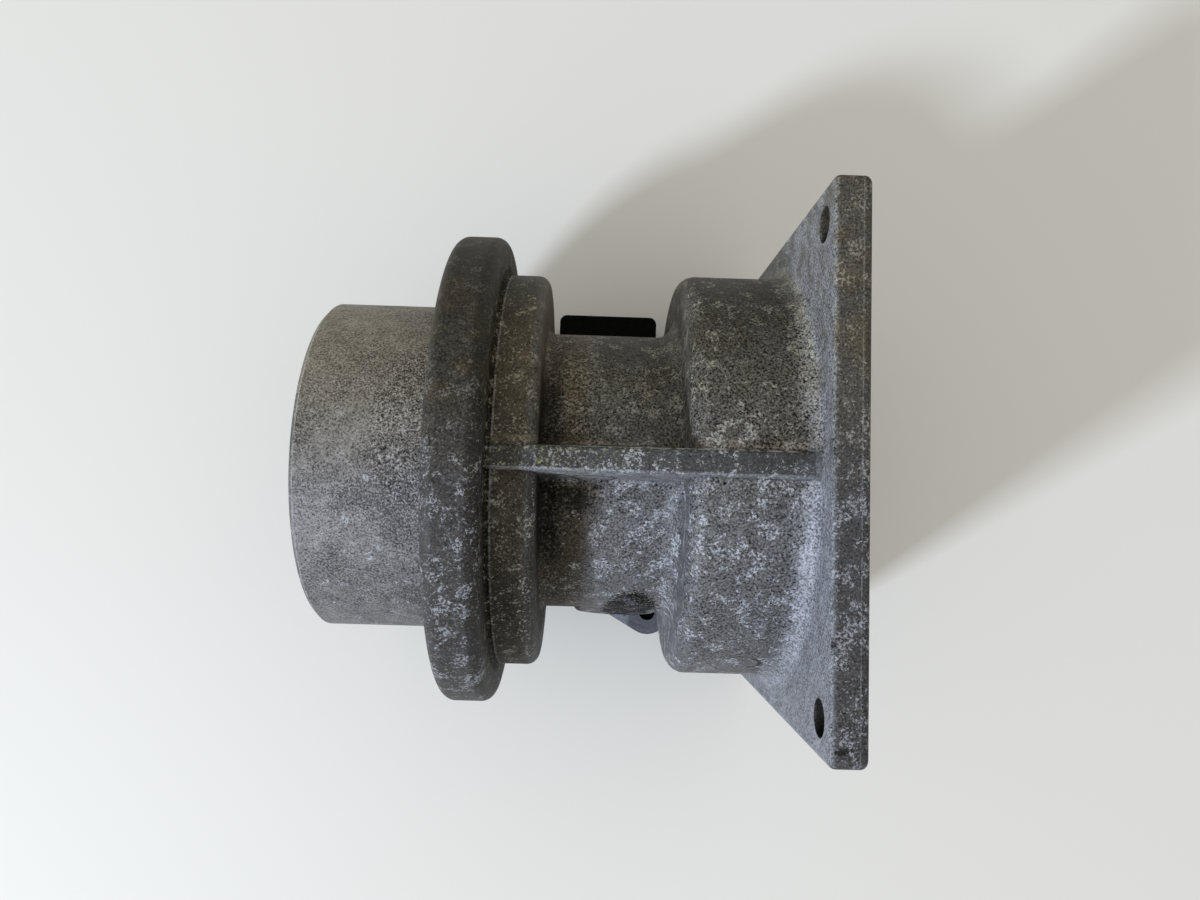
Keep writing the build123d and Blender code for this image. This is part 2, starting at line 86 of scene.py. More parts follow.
class Graph:
    """Short calls for the nodes of one material or one shared effect."""

    def __init__(self, tree):
        self.tree = tree

    def node(self, kind, inputs=None, **settings):
        made = self.tree.nodes.new(kind)
        for name, value in settings.items():
            setattr(made, name, value)
        for name, value in (inputs or {}).items():
            self.put(made.inputs[name], value)
        return made

    def put(self, socket, value):
        """Links the socket to another node's output, or sets its plain value."""
        if isinstance(value, bpy.types.NodeSocket):
            self.tree.links.new(value, socket)
        else:
            socket.default_value = value

    def math(self, operation, a, b=0.0, clamp=False):
        made = self.node("ShaderNodeMath", {0: a, 1: b}, operation=operation, use_clamp=clamp)
        return made.outputs[0]

    def add(self, *values):
        return reduce(lambda a, b: self.math("ADD", a, b), values)

    def times(self, *values):
        return reduce(lambda a, b: self.math("MULTIPLY", a, b), values)

    def most(self, *values):
        return reduce(lambda a, b: self.math("MAXIMUM", a, b), values)

    def less(self, a, b):
        return self.math("SUBTRACT", a, b)

    def ratio(self, a, b):
        return self.math("DIVIDE", a, b)

    def absolute(self, a):
        return self.math("ABSOLUTE", a)

    def length(self, a, b):
        """The length of the line from 0 to the point (a, b)."""
        return self.math("SQRT", self.add(self.times(a, a), self.times(b, b)))

    def off(self, mask, strength=1.0):
        """1 off the mask, and less by the strength on it."""
        if strength != 1.0:
            mask = self.times(mask, strength)
        return self.less(1.0, mask)

    def gain(self, mask, level):
        """1 off the mask, and the level on it."""
        return self.mix(mask, 1.0, level)

    def ramp(self, value, low, high, to_low=0.0, to_high=1.0):
        """A smooth step of the value from low to high."""
        places = {"Value": value, "From Min": low, "From Max": high, "To Min": to_low, "To Max": to_high}
        return self.node("ShaderNodeMapRange", places, interpolation_type="SMOOTHSTEP").outputs[0]

    def grade(self, noise, to_low, to_high):
        """The middle of a noise's range, spread from one amount to another."""
        return self.ramp(noise, NOISE_LOW, NOISE_HIGH, to_low, to_high)

    def ramp_line(self, value, low, high):
        """The value's share of the way from low to high."""
        places = {"Value": value, "From Min": low, "From Max": high}
        return self.node("ShaderNodeMapRange", places, clamp=True).outputs[0]

    def window(self, value, low, high, soft):
        """1 between low and high, fading over the soft width outside them."""
        return self.times(self.ramp(value, low - soft, low), self.off(self.ramp(value, high, high + soft)))

    def noise(self, point, per_mm, detail=2.0, rough=0.5, bend=0.0):
        places = {"Vector": point, "Scale": per_mm, "Detail": detail, "Roughness": rough, "Distortion": bend}
        return self.node("ShaderNodeTexNoise", places).outputs["Fac"]

    def mix(self, factor, a, b):
        """Number a where the factor is 0, number b where it is 1."""
        return self.node("ShaderNodeMix", {0: factor, 2: a, 3: b}, clamp_factor=True).outputs[0]

    def blend(self, factor, a, b):
        """Colour a where the factor is 0, colour b where it is 1."""
        made = self.node("ShaderNodeMix", data_type="RGBA", clamp_factor=True)
        for socket, value in zip((made.inputs[0], made.inputs[6], made.inputs[7]), (factor, a, b)):
            self.put(socket, value)
        return made.outputs[2]

    def shade(self, tint, level):
        """The colour with its brightness multiplied by the level."""
        made = self.node("ShaderNodeVectorMath", operation="SCALE")
        self.put(made.inputs[0], tint if isinstance(tint, bpy.types.NodeSocket) else tint[:3])
        self.put(made.inputs["Scale"], level)
        return made.outputs[0]

    def vector(self, operation, a, b):
        made = self.node("ShaderNodeVectorMath", {0: a, 1: b}, operation=operation)
        return made.outputs[0]

    def split(self, vector):
        """The vector's three numbers."""
        return self.node("ShaderNodeSeparateXYZ", {"Vector": vector}).outputs

    def join(self, x=0.0, y=0.0, z=0.0):
        return self.node("ShaderNodeCombineXYZ", {"X": x, "Y": y, "Z": z}).outputs[0]

    def facing(self):
        """The three numbers of the surface's own direction."""
        return self.split(self.node("ShaderNodeNewGeometry").outputs["Normal"])

    def stops(self, value, places):
        """A colour ramp with the given places, as (position, colour) pairs."""
        made = self.node("ShaderNodeValToRGB", {"Fac": value})
        ramp = made.color_ramp
        while len(ramp.elements) < len(places):
            ramp.elements.new(1.0)
        for element, (position, tint) in zip(ramp.elements, places):
            element.position = position
            element.color = tint
        return made.outputs["Color"]

    def use(self, group, inputs):
        """The outputs of a shared effect, placed with its own values."""
        made = self.node("ShaderNodeGroup", node_tree=group)
        for name, value in inputs.items():
            self.put(made.inputs[name], value)
        return made.outputs


# ---------------------------------------------------------------- shared effects


def new_group(name, inputs, outputs):
    """An empty shared effect with named inputs, as (name, default), and named outputs.

    An input or output is a vector where its default is None or its name is Point, and otherwise a number.
    """
    tree = bpy.data.node_groups.new(name, "ShaderNodeTree")
    for label, default in inputs:
        kind = "NodeSocketVector" if default is None else "NodeSocketFloat"
        socket = tree.interface.new_socket(label, in_out="INPUT", socket_type=kind)
        if default is not None:
            socket.default_value = default
    for label in outputs:
        kind = "NodeSocketVector" if label == "Point" else "NodeSocketFloat"
        tree.interface.new_socket(label, in_out="OUTPUT", socket_type=kind)
    graph = Graph(tree)
    return graph, graph.node("NodeGroupInput").outputs, graph.node("NodeGroupOutput").inputs


def make_place():
    """Where a point of the surface is, in millimetres, with its distance from the bore axis."""
    graph, _, out = new_group("Place", [], ["Point", "X", "Y", "Z", "Radius"])
    point = graph.shade(graph.node("ShaderNodeTexCoord").outputs["Object"], 1 / MM)
    x, y, z = graph.split(point)
    for name, value in (("Point", point), ("X", x), ("Y", y), ("Z", z), ("Radius", graph.length(y, z))):
        graph.put(out[name], value)
    return graph.tree


def make_cast_grain():
    """The skin of a die casting: fine grit, slower mottling, and scattered pits."""
    inputs = [("Point", None), ("Grit Size", 0.4), ("Mottle Size", 2.5)]
    graph, got, out = new_group("Cast_Grain", inputs, ["Height", "Grit", "Mottle", "Pits"])
    per_mm = graph.ratio(1.0, got["Grit Size"])
    grit = graph.noise(got["Point"], per_mm, 2.0, 0.6)
    mottle = graph.noise(got["Point"], graph.ratio(1.0, got["Mottle Size"]), 4.0, 0.62)
    pits = graph.ramp(graph.noise(got["Point"], graph.times(per_mm, 0.6)), 0.67, 0.73)
    waves = graph.add(graph.times(grit, 0.7), graph.times(mottle, 0.8))
    graph.put(out["Height"], graph.less(waves, graph.times(pits, 0.6)))
    graph.put(out["Grit"], grit)
    graph.put(out["Mottle"], mottle)
    graph.put(out["Pits"], pits)
    return graph.tree


def make_oxide_bloom():
    """White oxide bloom: lacy threads and flecks that crowd together in small, scattered patches."""
    inputs = [("Point", None), ("Patch Size", 2.5), ("Thread Size", 0.8), ("Cover", 0.5)]
    graph, got, out = new_group("Oxide_Bloom", inputs, ["Mask", "Patch"])
    patch = graph.noise(got["Point"], graph.ratio(1.0, got["Patch Size"]), 4.0, 0.62, 0.3)
    crowd = graph.add(patch, graph.times(got["Cover"], 0.14))
    flecks = graph.noise(got["Point"], graph.ratio(1.0, got["Thread Size"]), 2.0, 0.65, 0.6)
    crowding = graph.math("MINIMUM", graph.times(graph.less(crowd, 0.65), 1.6), 0.045)
    graph.put(out["Mask"], graph.ramp(graph.add(flecks, crowding), 0.49, 0.65))
    graph.put(out["Patch"], graph.ramp(crowd, 0.61, 0.72))
    return graph.tree


def make_turned_streaks():
    """Fine streaks that run round the bore axis, as draw lines and machining leave them."""
    inputs = [("X", 0.0), ("Y", 0.0), ("Z", 0.0), ("Radius", 0.0)]
    inputs += [("Streak Width", 0.4), ("Streak Length", 8.0)]
    graph, got, out = new_group("Turned_Streaks", inputs, ["Streaks"])
    turn = graph.math("ARCTAN2", got["Y"], got["Z"])
    along = graph.ratio(graph.times(turn, got["Radius"]), got["Streak Length"])
    width = got["Streak Width"]
    spot = graph.join(graph.ratio(got["X"], width), graph.ratio(got["Radius"], width), along)
    graph.put(out["Streaks"], graph.noise(spot, 1.0, 3.0, 0.6))
    return graph.tree


def make_soft_spot():
    """A round or oval patch in two chosen directions: Mask is 1 on it, and Reach is 1 at its edge."""
    inputs = [("Across", 0.0), ("Along", 0.0), ("Middle Across", 0.0), ("Middle Along", 0.0)]
    inputs += [("Half Across", 1.0), ("Half Along", 1.0)]
    graph, got, out = new_group("Soft_Spot", inputs, ["Mask", "Reach"])
    across = graph.ratio(graph.less(got["Across"], got["Middle Across"]), got["Half Across"])
    along = graph.ratio(graph.less(got["Along"], got["Middle Along"]), got["Half Along"])
    reach = graph.length(across, along)
    graph.put(out["Mask"], graph.ramp(reach, 1.1, 0.8))
    graph.put(out["Reach"], reach)
    return graph.tree


def make_moulded_skin():
    """The skin that an eroded mould leaves on plastic, and the slow cloudiness of its gloss."""
    graph, got, out = new_group("Moulded_Skin", [("Point", None), ("Grain Size", 0.25)], ["Height", "Cloud"])
    graph.put(out["Height"], graph.noise(got["Point"], graph.ratio(1.0, got["Grain Size"])))
    graph.put(out["Cloud"], graph.noise(got["Point"], 0.4, 4.0, 0.6))
    return graph.tree


def make_settled_dust():
    """Dust on surfaces that face up, in soft drifts."""
    graph, got, out = new_group("Settled_Dust", [("Point", None), ("Amount", 0.3)], ["Mask"])
    up = graph.ramp(graph.facing()["Z"], 0.2, 0.9)
    drift = graph.ramp(graph.noise(got["Point"], 0.5, 5.0, 0.7), 0.45, 0.75)
    graph.put(out["Mask"], graph.times(up, drift, got["Amount"]))
    return graph.tree


def make_drawn_lines():
    """Fine lines that rolling, drawing or turning leaves; Stretch is how much longer they are each way."""
    inputs = [("Point", None), ("Stretch", None), ("Line Size", 0.15)]
    graph, got, out = new_group("Drawn_Lines", inputs, ["Lines"])
    squeezed = graph.vector("DIVIDE", got["Point"], got["Stretch"])
    graph.put(out["Lines"], graph.noise(squeezed, graph.ratio(1.0, got["Line Size"]), 3.0, 0.6))
    return graph.tree


PLACE = make_place()
CAST_GRAIN = make_cast_grain()
OXIDE_BLOOM = make_oxide_bloom()
TURNED_STREAKS = make_turned_streaks()
SOFT_SPOT = make_soft_spot()
MOULDED_SKIN = make_moulded_skin()
SETTLED_DUST = make_settled_dust()
DRAWN_LINES = make_drawn_lines()


def new_material(name):
    """A material with a Principled shader: the material, its graph and the shader's inputs."""
    material = bpy.data.materials.new(name)
    material.use_nodes = True
    graph = Graph(material.node_tree)
    return material, graph, material.node_tree.nodes["Principled BSDF"].inputs


def set_bump(graph, shader, height, distance_mm):
    """Raises the surface by the height, at most by the distance."""
    bump = graph.node("ShaderNodeBump", {"Height": height, "Distance": distance_mm * MM, "Strength": 1.0})
    graph.put(shader["Normal"], bump.outputs["Normal"])


# ---------------------------------------------------------------- the casting

# Stations of the casting along the bore, in millimetres, from the flange to the spigot's rim
FLANGE_FRONT = 0.0
FLANGE_BACK = -6.5
BODY_END = -29.1
NECK_END = -56.3
STEP_END = -65.2
RING_END = -75.4
SPIGOT_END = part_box("housing")[0].x / MM
# Where the stretch of the neck beside the step, dark with dirt and painted shadow of the step, gives way to
# the lit one
SHADED_NECK_END = NECK_END + 7.8
LIT_NECK_START = NECK_END + 9.8
# Where the flange's root starts to pale
ROOT_START = FLANGE_BACK - 5.0

# Along y, where the side near the window gives way to the far side
NEAR_SIDE = -10.0
FAR_SIDE = 20.0
# Just under the rib's top, and half its width
RIB_TOP = 43.5
RIB_HALF = 2.5
# The bolt holes lie this far from the axis, both ways
BOLT_PLACE = 43.0
BOLT_HOLE_RADIUS = 3.25
# The near screw ear: its top, its root, its ends along the bore and where its sloping facet starts
EAR_TOP = -31.5
EAR_SIDE = -33.4
EAR_ENDS = (-46.0, -28.0)
EAR_FACET = -35.0
# A radius just over the corner of ring and step, and one just under the step's own edge
RING_ROOT_RADIUS = 44.6
STEP_EDGE_RADIUS = 41.0
# The strip of the flange's edge next to its bevel: beyond this radius, and from this station on
EDGE_RADIUS = 46.0
EDGE_BEVEL = -1.6

# Spots on the casting, each as its middle and its half size, in millimetres: along x and y
ETCHED_AND_LIT_SPOT = ((-79.0, 5.0), (9.0, 16.0))
LUG_SPOT = ((-37.2, -30.6), (5.8, 5.4))
EDGE_PIT = ((-4.9, -46.9), (1.0, 0.38))
EDGE_PIT_TRAIL = ((-3.8, -46.5), (1.3, 0.45))
EDGE_SPECK = ((-6.3, -29.6), (0.6, 0.5))
# and along x and z
RIB_PIN = ((-46.0, 33.6), (4.1, 4.1))
BODY_PIN = ((-16.0, 19.0), (4.5, 4.5))
SMALL_PIN = ((-14.2, 20.5), (2.2, 2.2))

SPIGOT_TONE = colour(135, 133, 131)
RING_TONE = colour(66, 64, 62)
STEP_SHADOW_AND_DIRT_TONE = colour(69, 66, 57)
STEP_EDGE_TONE = colour(70, 69, 69)
NECK_SHADOW_AND_DIRT_TONE = colour(67, 60, 47)
NECK_TONE = colour(103, 103, 103)
BODY_TONE = colour(99, 99, 99)
ROOT_TONE = colour(138, 140, 145)
EDGE_TONE = colour(73, 72, 73)
EAR_TONE = colour(100, 102, 108)
EAR_FACET_LIT_TONE = colour(134, 138, 146)
HOLE_SHADE_TONE = colour(24, 22, 16)
TURNED_TONE = colour(150, 150, 148)
BLOOM_TONE = colour(202, 206, 212)
DUSTY_BLOOM_TONE = colour(172, 166, 142)
RIB_ROOT_HIGHLIGHT_TONE = colour(124, 115, 96)
OLIVE_TONE = colour(78, 70, 50)
DIRT_AND_SHADE_TONE = colour(50, 41, 28)
PIT_TONE = colour(22, 20, 18)
PEPPER_TONE = colour(62, 60, 60)
RIB_TONE = colour(56, 58, 62)
LICHEN_TONE = colour(146, 152, 112)
# Painted light: how far every colour leans to blue on the near side, in the window's cool light, and to brown
# on the far side, in the room's warm shade
LIT_COOL_TINT = (0.97, 0.99, 1.07)
SHADE_WARM_TINT = (1.03, 1.0, 0.87)
# Painted shade: how dim the casting is painted where it faces straight to the far side, and straight to the
# near side
FAR_FACING_SHADE = 0.38
NEAR_FACING_SHADE = 0.83

# How metallic the casting is where it is bare, machined, or black with dirt and painted shade
BARE_METAL = 0.35
MACHINED_METAL = 0.6
DARKENED_METAL = 0.9
# Its roughness from the smoothest grit to the roughest, and how much covers add and machining takes away
GRIT_ROUGHNESS = (0.52, 0.68)
COVERED_ROUGHNESS = 0.25
MACHINED_SMOOTHNESS = 0.12
CAST_GLOSS = 0.3
# How far its skin stands out, in millimetres, and how much of that bloom adds and a mark takes away
CAST_RELIEF = 0.12
BLOOM_RELIEF = 0.3
MARK_RELIEF = 1.5

# The tones along the bore: the step's tone and the neck's stretch beside it hold painted shadow of the ring
# and step, with dirt
CASTING_TONES = [
    (SPIGOT_END, SPIGOT_TONE),
    (RING_END - 0.2, SPIGOT_TONE),
    (RING_END + 0.1, RING_TONE),
    (STEP_END - 0.2, RING_TONE),
    (STEP_END + 0.3, STEP_SHADOW_AND_DIRT_TONE),
    (NECK_END - 2.3, STEP_SHADOW_AND_DIRT_TONE),
    (NECK_END - 1.6, STEP_EDGE_TONE),
    (NECK_END - 0.3, STEP_EDGE_TONE),
    (NECK_END + 0.3, NECK_SHADOW_AND_DIRT_TONE),
    (SHADED_NECK_END, NECK_SHADOW_AND_DIRT_TONE),
    (LIT_NECK_START, NECK_TONE),
    (BODY_END - 0.5, NECK_TONE),
    (BODY_END + 1.0, BODY_TONE),
    (ROOT_START, BODY_TONE),
    (FLANGE_BACK - 1.0, ROOT_TONE),
    (FLANGE_BACK + 0.05, ROOT_TONE),
    (FLANGE_BACK + 0.6, EDGE_TONE),
    (FLANGE_FRONT, EDGE_TONE),
]
# How much of each stretch the bloom covers
BLOOM_COVERS = [
    (SPIGOT_END, 0.05),
    (RING_END - 0.2, 0.10),
    (RING_END + 0.2, 0.55),
    (NECK_END - 0.2, 0.28),
    (NECK_END + 0.3, 0.20),
    (NECK_END + 6.0, 0.25),
    (NECK_END + 10.0, 0.65),
    (BODY_END - 0.5, 0.65),
    (BODY_END + 1.0, 0.55),
    (ROOT_START, 0.52),
    (FLANGE_BACK - 2.0, 0.45),
    (FLANGE_BACK - 0.2, 0.40),
    (FLANGE_BACK + 0.4, 0.55),
    (FLANGE_FRONT, 0.50),
]
# Painted light and shade: how bright the side away from the window is painted, as a share of the near side,
# divided by the scale
SHARE_SCALE = 2.0
FAR_SHADE_SHARES = [
    (SPIGOT_END, 0.57),
    (RING_END - 0.2, 0.57),
    (RING_END + 0.2, 0.40),
    (STEP_END - 0.2, 0.40),
    (STEP_END + 0.2, 0.54),
    (NECK_END + 6.0, 0.98),
    (NECK_END + 10.0, 0.40),
    (BODY_END + 1.0, 0.32),
    (ROOT_START, 0.35),
    (FLANGE_BACK - 2.0, 0.44),
    (FLANGE_BACK + 1.5, 0.56),
    (FLANGE_FRONT, 0.56),
]
# A radius within the wall at each station, which parts the inside from the outside
WALL_SCALE = 100.0
WALL_RADII = [
    (SPIGOT_END, 33.5),
    (-90.0, 33.0),
    (-60.0, 29.0),
    (NECK_END + 3.0, 28.5),
    (-33.0, 28.5),
    (BODY_END, 29.5),
    (-20.0, 37.0),
    (-8.0, 41.0),
    (FLANGE_FRONT, 41.0),
]


def along_bore(graph, x, places):
    """A tone that changes along the bore, from its list of stations."""
    span = FLANGE_FRONT - SPIGOT_END
    stops = [((station - SPIGOT_END) / span, tint) for station, tint in places]
    return graph.stops(graph.ramp_line(x, SPIGOT_END, FLANGE_FRONT), stops)


def amount_along_bore(graph, x, places, scale=1.0):
    """A number that changes along the bore, held in a ramp of 0 to 1 as a share of the scale."""
    tint = along_bore(graph, x, [(station, (amount / scale,) * 3 + (1.0,)) for station, amount in places])
    return graph.node("ShaderNodeSeparateColor", {"Color": tint}).outputs["Red"]


class Casting:
    """Where a point of the casting lies, and how much of each region, dirt, painted shade and mark is there.
    """

    def __init__(self, graph):
        self.graph = graph
        place = graph.use(PLACE, {})
        self.point = place["Point"]
        self.x, self.y, self.z, self.radius = (place[name] for name in ("X", "Y", "Z", "Radius"))
        self.facing_x, self.facing_y, self.facing_z = graph.facing()
        self.grain = graph.use(CAST_GRAIN, {"Point": self.point, "Grit Size": 0.40, "Mottle Size": 2.4})
        round_bore = {"X": self.x, "Y": self.y, "Z": self.z, "Radius": self.radius}
        self.streaks = graph.use(TURNED_STREAKS, round_bore)["Streaks"]
        self.beside_rib = graph.absolute(self.y)
        self.far = graph.ramp(self.y, NEAR_SIDE, FAR_SIDE)
        self.find_regions()
        self.find_dirt_and_shade()
        self.blackness_and_shade = self.blackening_and_shade()

    def spot(self, across, along, middle, half):
        places = {"Across": across, "Along": along, "Middle Across": middle[0], "Middle Along": middle[1]}
        places["Half Across"], places["Half Along"] = half
        return self.graph.use(SOFT_SPOT, places)

    def between(self, low, high, soft):
        """1 from one station to another, fading over the soft width outside them."""
        return self.graph.window(self.x, low, high, soft)

    def find_regions(self):
        """Sets the mask of each region, which is 1 on it and 0 off it."""
        graph = self.graph
        wall = graph.times(amount_along_bore(graph, self.x, WALL_RADII, WALL_SCALE), WALL_SCALE)
        self.inside = graph.ramp(graph.less(self.radius, wall), 0.2, -0.2)
        self.outside = graph.off(self.inside)
        self.on_rib = graph.times(
            graph.ramp(self.z, RIB_TOP - 0.7, RIB_TOP - 0.2),
            graph.ramp(self.beside_rib, RIB_HALF + 0.3, RIB_HALF),
            self.between(STEP_END, FLANGE_BACK - 0.6, 0.4),
        )
        self.on_flange_face = graph.times(
            graph.ramp(self.facing_x, -0.78, -0.93), self.between(FLANGE_BACK - 0.8, FLANGE_BACK + 0.2, 0.4)
        )
        self.on_flange_edge = graph.ramp(self.x, FLANGE_BACK, FLANGE_BACK + 0.5)
        self.off_middle = graph.ramp(self.radius, EDGE_RADIUS, EDGE_RADIUS + 1.0)
        self.on_spigot = graph.ramp(self.x, RING_END + 0.1, RING_END - 0.2)
        self.on_ring = self.between(RING_END, STEP_END - 0.2, 0.2)
        self.far_ring = graph.times(self.on_ring, self.far)
        self.on_step = self.between(STEP_END, NECK_END, 0.2)
        self.on_ear = graph.times(
            graph.ramp(self.z, EAR_TOP + 2.5, EAR_TOP + 0.5),
            graph.ramp(self.y, EAR_SIDE, EAR_SIDE - 0.8),
            self.between(*EAR_ENDS, 0.5),
        )
        hole = self.spot(self.beside_rib, graph.absolute(self.z), (BOLT_PLACE,) * 2, (BOLT_HOLE_RADIUS,) * 2)
        self.in_hole = graph.ramp(hole["Reach"], 1.06, 1.02)
        self.etched_and_lit = graph.times(self.spot(self.x, self.y, *ETCHED_AND_LIT_SPOT)["Mask"], self.on_spigot)
        root = graph.times(self.between(FLANGE_BACK - 1.5, FLANGE_BACK + 0.3, 1.5), 0.4)
        self.streaked = graph.most(self.on_flange_face, root)

    def find_dirt_and_shade(self):
        """Sets the masks of the brown dirt, which also holds painted shade and shadow, and of its blackest
        places.
        """
        graph = self.graph
        beside = self.beside_rib
        above_rib = graph.times(
            graph.ramp(beside, 13.0, 3.0),
            graph.ramp(self.y, -1.0, 2.0),
            self.between(BODY_END + 14.0, FLANGE_BACK - 3.5, 7.0),
        )
        # At the step's foot on the neck: dirt with painted shadow of the step
        step_foot = graph.times(
            self.between(NECK_END - 0.1, NECK_END + 4.0, 4.0),
            graph.ramp(self.radius, 39.0, 33.0),
            graph.mix(self.far, 0.8, 0.45),
        )
        rib_foot = graph.times(
            graph.ramp(beside, 12.0, 4.0),
            self.between(NECK_END, NECK_END + 9.3, 5.0),
            graph.mix(self.far, 1.0, 0.55),
            graph.ramp(self.z, 40.0, 34.0),
        )
        corner = graph.times(graph.ramp(beside, 23.0, 13.0), self.between(NECK_END, NECK_END + 2.6, 3.0))
        under_rib = graph.times(
            self.between(NECK_END, SHADED_NECK_END, 2.0), graph.window(self.y, -8.6, -5.2, 1.0), 0.8
        )
        self.black_corner = graph.times(graph.most(corner, under_rib), graph.ramp(self.radius, 40.0, 36.0))
        ring_foot = graph.times(
            self.between(STEP_END - 0.3, STEP_END + 0.6, 0.5),
            graph.ramp(self.radius, RING_ROOT_RADIUS, RING_ROOT_RADIUS - 1.4),
            1.4,
        )
        # On the step, heavier on the near side: dirt with painted shadow of the ring
        step_top = graph.times(
            self.between(STEP_END + 0.2, NECK_END - 2.0, 0.4),
            graph.mix(self.far, 0.6, 0.1),
            graph.ramp(self.radius, STEP_EDGE_RADIUS - 1.0, STEP_EDGE_RADIUS + 1.0),
        )
        spigot_foot = graph.times(
            self.between(RING_END - 0.5, RING_END, 0.3), graph.ramp(self.radius, 36.5, 36.0), 0.9
        )
        self.over_lug = self.lug_dirt_and_shade()
        dirt_and_shade = graph.most(above_rib, step_foot, rib_foot, ring_foot, step_top, spigot_foot)
        dirt_and_shade = graph.most(dirt_and_shade, graph.times(self.over_lug, 2.0))
        patchy = graph.ramp(self.grain["Mottle"], 0.30, 0.62, 1.0, 0.5)
        dirt_and_shade = graph.math("MULTIPLY", dirt_and_shade, patchy, clamp=True)
        self.dirt_and_shade = graph.times(dirt_and_shade, graph.off(self.on_ear))

    def lug_dirt_and_shade(self):
        """Ragged dirt and painted shade over the near lug, and painted shadow at the pad's other end, but not
        on the ear below.
        """
        graph = self.graph
        ragged = graph.times(graph.less(self.grain["Grit"], 0.5), 0.9)
        reach = graph.add(self.spot(self.x, self.y, *LUG_SPOT)["Reach"], ragged)
        lug = graph.times(
            graph.ramp(reach, 1.1, 0.9), graph.ramp(self.z, 23.5, 21.5), graph.ramp(self.x, -30.4, -31.4)
        )
        pad_end = graph.times(self.between(-50.5, -48.6, 0.8), graph.ramp(self.y, -29.0, -30.5))
        return graph.times(graph.most(lug, pad_end), graph.off(self.on_ear))

    def blackening_and_shade(self):
        """How bright the blackest dirt and the painted shade leave the metal, with each place's own level."""
        graph = self.graph
        # Painted shadow of the ring on the step's low side
        low_step = graph.times(
            self.between(STEP_END + 0.4, NECK_END, 0.3), graph.ramp(self.y, -14.0, -26.0)
        )
        # Painted shade in the corner under the ring
        under_ring = graph.times(
            self.between(STEP_END - 0.5, STEP_END + 0.7, 0.4), graph.ramp(self.radius, 47.0, 45.5)
        )
        # Painted shade on the ring's round corner, which turns away from the window
        ring_corner = graph.times(
            self.between(STEP_END - 2.2, STEP_END - 0.2, 0.8),
            graph.ramp(self.radius, RING_ROOT_RADIUS, RING_ROOT_RADIUS + 0.8),
        )
        return graph.times(
            graph.gain(self.over_lug, 0.26),
            graph.gain(self.black_corner, 0.25),
            graph.gain(low_step, 0.62),
            graph.gain(under_ring, 0.45),
            graph.gain(ring_corner, 0.62),
        )

    def bloom(self):
        """Sparse patches of bloom, with stray flecks between them."""
        graph = self.graph
        cover = graph.add(amount_along_bore(graph, self.x, BLOOM_COVERS), graph.mix(self.far, 0.04, -0.05))
        places = {"Point": self.point, "Patch Size": 3.2, "Thread Size": 0.50, "Cover": cover}
        patches = graph.times(
            graph.use(OXIDE_BLOOM, places)["Mask"],
            graph.mix(graph.most(self.on_ring, self.on_flange_edge), 0.74, 0.5),
            graph.off(self.far_ring, 0.6),
            graph.off(self.dirt_and_shade, 0.5),
            graph.off(self.inside, 0.85),
            graph.off(graph.most(graph.times(self.on_flange_face, 0.7), self.black_corner)),
        )
        white = graph.most(patches, self.flecks())
        return graph.times(white, graph.off(graph.most(graph.times(self.on_ear, 0.85), self.in_hole)))

    def flecks(self):
        """Stray flecks of bloom, which dirt leaves showing."""
        graph = self.graph
        more_on_neck = graph.times(
            self.between(NECK_END + 2.0, NECK_END + 9.0, 2.0), graph.mix(self.far, 0.03, 0.075)
        )
        fleck = graph.ramp(graph.add(graph.noise(self.point, 1.9, 3.0, 0.75), more_on_neck), 0.56, 0.68)
        drift = graph.ramp(graph.noise(self.point, 0.14, 3.0, 0.6), 0.35, 0.62, 0.25, 1.0)
        amount = graph.mix(self.on_spigot, graph.mix(self.dirt_and_shade, 0.5, 0.95), graph.mix(self.etched_and_lit, 0.08, 0.3))
        far_metal = graph.times(self.far, graph.off(self.on_spigot))
        amount = graph.mix(far_metal, amount, graph.mix(self.dirt_and_shade, 0.65, 0.95))
        return graph.times(
            fleck,
            drift,
            graph.most(amount, self.on_step),
            graph.off(self.far_ring, 0.7),
            graph.off(self.streaked, 0.4),
            graph.off(self.black_corner, 0.5),
            self.outside,
        )

    def lichen(self):
        """Pale green lichen in small spots along the rib's top, thickest at its ring end."""
        graph = self.graph
        places = {"Point": self.point, "Patch Size": 1.0, "Thread Size": 0.5, "Cover": 0.35}
        spots = graph.use(OXIDE_BLOOM, places)
        patches = graph.times(spots["Patch"], 0.3)
        grown = graph.math("ADD", patches, graph.times(spots["Mask"], 0.5), clamp=True)
        thinning = self.between(STEP_END + 3.0, NECK_END + 8.3, 14.0)
        return graph.times(grown, self.on_rib, thinning, graph.ramp(self.x, STEP_END, STEP_END + 0.8))

    def rib_flank_highlight(self):
        """Painted highlight on the rib's flank on the near side, from the step to the flange."""
        graph = self.graph
        return graph.times(
            graph.ramp(self.facing_y, -0.1, -0.5),
            graph.window(self.y, -4.6, -1.8, 0.4),
            graph.ramp(self.z, 27.0, 31.0),
            self.between(STEP_END + 2.0, FLANGE_BACK - 1.0, 2.0),
        )

    def rib_root_highlight(self):
        """A pale olive painted highlight along the rib's far root."""
        graph = self.graph
        return graph.times(
            graph.window(self.y, RIB_HALF + 0.5, RIB_HALF + 1.3, 0.5),
            graph.ramp(self.z, 26.0, 28.0),
            self.between(STEP_END + 1.0, FLANGE_BACK - 3.0, 1.0),
            graph.ramp(self.grain["Mottle"], 0.2, 0.6, 0.2, 0.45),
        )

